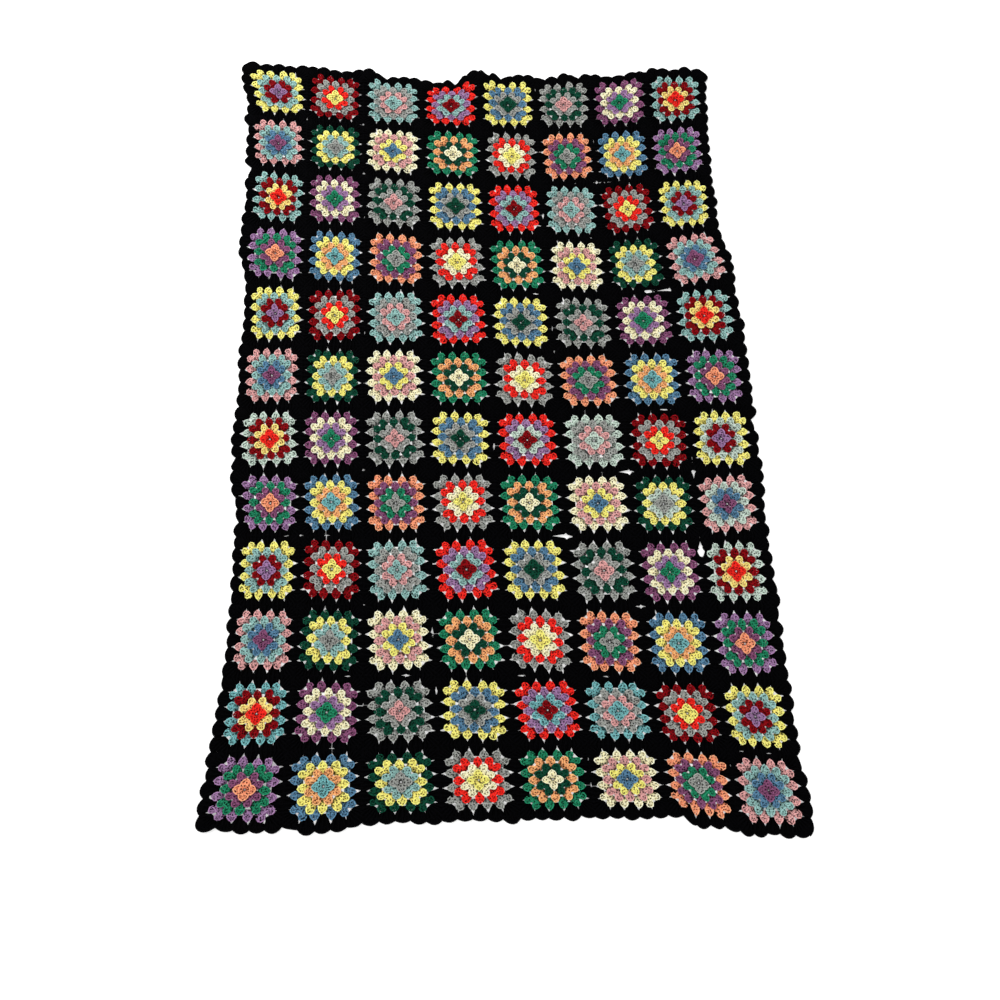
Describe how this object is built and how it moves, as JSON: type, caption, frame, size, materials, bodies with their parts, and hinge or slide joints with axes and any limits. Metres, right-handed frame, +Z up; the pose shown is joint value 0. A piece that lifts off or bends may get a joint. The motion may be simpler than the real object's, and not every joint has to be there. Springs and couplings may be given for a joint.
{
  "type": "granny square blanket",
  "caption": "Rectangular blanket of crocheted granny squares joined edge to edge inside a narrow scalloped edging, lying flat with softly pulled corners.",
  "frame": {"origin": "on the ground under the middle of the blanket's outline", "axes": "+X across the blanket to its right, +Y down its length away from the near edge, +Z up out of the upper face"},
  "size_m": [1.2103, 1.8286, 0.0128],
  "materials": {
    "coloured_yarn": "matt acrylic yarn in many colours, crocheted",
    "black_yarn": "matt black acrylic yarn, crocheted"
  },
  "bodies": {
    "root": {"joined_squares": "coloured_yarn", "scalloped_edging": "black_yarn"}
  },
  "joints": []
}
